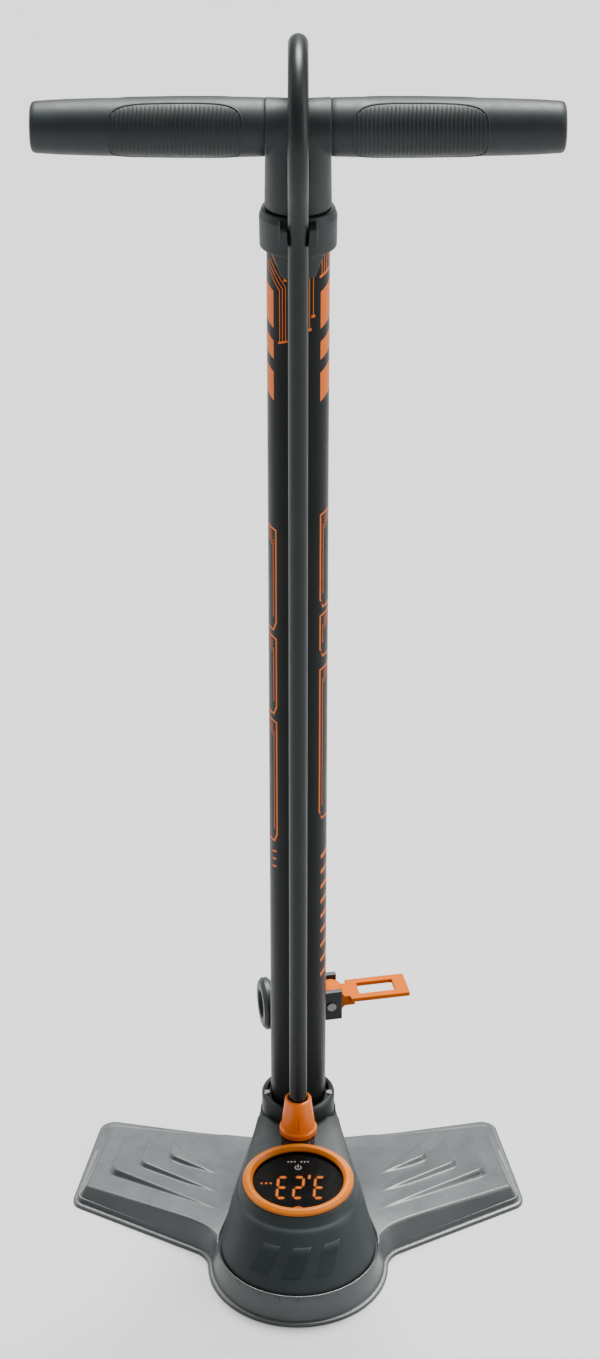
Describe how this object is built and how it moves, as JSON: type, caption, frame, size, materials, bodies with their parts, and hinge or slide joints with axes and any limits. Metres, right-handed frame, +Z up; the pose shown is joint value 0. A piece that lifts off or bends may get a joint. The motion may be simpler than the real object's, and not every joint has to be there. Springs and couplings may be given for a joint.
{
  "type": "floor bike pump",
  "caption": "Upright floor pump with a swept plastic foot, round digital pressure gauge, slim barrel, T handle and a hose looped over the handle to a lever valve head.",
  "frame": {"origin": "on the ground, under the middle of the pump's box without its hose and valve head", "axes": "+Z up along the barrel, -Y to the gauge at the front, +X to the right seen from the front"},
  "size_m": [0.2656, 0.189, 0.6951],
  "materials": {
    "dark_plastic": "fine moulded grain",
    "foot_plastic": "satin moulded, top faces paler than the risers",
    "grip_plastic": "ribbed moulded plastic",
    "black_paint": "smooth near-black paint with printed orange marks",
    "orange_plastic": "glossy moulded",
    "orange_ring": "satin orange ring with a bright inner bevel",
    "clear_lens": "clear, glossy",
    "display_face": "dark display face with a pale grey reading area",
    "board": "lacquered board",
    "bright_steel": "ground and plated",
    "screw_steel": "plain zinc-plated",
    "plain_aluminium": "plain turned",
    "plain_brass": "turned",
    "pale_nylon": "moulded engineering plastic",
    "seal_rubber": "soft black rubber",
    "hose_rubber": "smooth dark grey hose cover"
  },
  "bodies": {
    "root": {"air_block": "pale_nylon", "barrel": "black_paint", "barrel_seal": "seal_rubber", "base_housing": "dark_plastic", "battery": "bright_steel", "battery_contact": "bright_steel", "block_screws": "screw_steel", "circuit_board": "board", "clamp_screws": "screw_steel", "collar": "dark_plastic", "display_panel": "display_face", "foot_plate": "foot_plastic", "gauge_bezel": "orange_ring", "gauge_case": "dark_plastic", "gauge_lens": "clear_lens", "guide_bush": "pale_nylon", "head_body": "dark_plastic", "head_cap": "dark_plastic", "hose_barb": "plain_brass", "hose_ferrule": "plain_aluminium", "hose_front_run": "hose_rubber", "hose_gland": "orange_plastic", "hose_loop": "hose_rubber", "hose_rear_run": "hose_rubber", "housing_screws": "screw_steel", "lever_pin": "bright_steel", "pressure_sensor": "bright_steel", "rod_wiper": "seal_rubber", "sensor_tube": "seal_rubber", "valve_grommet": "seal_rubber", "valve_plug": "dark_plastic", "valve_ring": "plain_aluminium", "valve_spring": "bright_steel"},
    "handle": {"handle_hub": "dark_plastic", "handle_tube": "plain_aluminium", "handle_bolt": "bright_steel", "grip_left": "grip_plastic", "grip_right": "grip_plastic", "piston_rod": "bright_steel", "piston": "pale_nylon", "piston_seal": "seal_rubber", "piston_nut": "screw_steel", "stroke_buffer": "seal_rubber"},
    "check_valve": {"valve_poppet": "pale_nylon"},
    "lever": {"valve_lever": "orange_plastic"},
    "plunger": {"head_plunger": "pale_nylon"}
  },
  "joints": [
    {"name": "pump_stroke", "type": "slide", "parent": "root", "child": "handle", "axis": [0, 0, 1], "range_m": [0, 0.52], "deforming": ["hose_loop"]},
    {"name": "check_valve_travel", "type": "slide", "parent": "root", "child": "check_valve", "axis": [0, 0, -1], "range_m": [0, 0.0015], "stiffness_N_per_m": 200, "springref_m": -0.002, "deforming": ["valve_spring"]},
    {"name": "lever_hinge", "type": "hinge", "parent": "root", "child": "lever", "pos_m": [0.01767, 0.07913, 0.1045], "axis": [0.1908, -0.9816, 0], "range_deg": [0, 85]},
    {"name": "plunger_travel", "type": "slide", "parent": "root", "child": "plunger", "axis": [-0.9816, -0.1908, 0], "range_m": [0, 0.002]}
  ],
  "couplings": [
    {"joint": "plunger_travel", "follows": "lever_hinge", "m_per_rad": 0.001348}
  ]
}
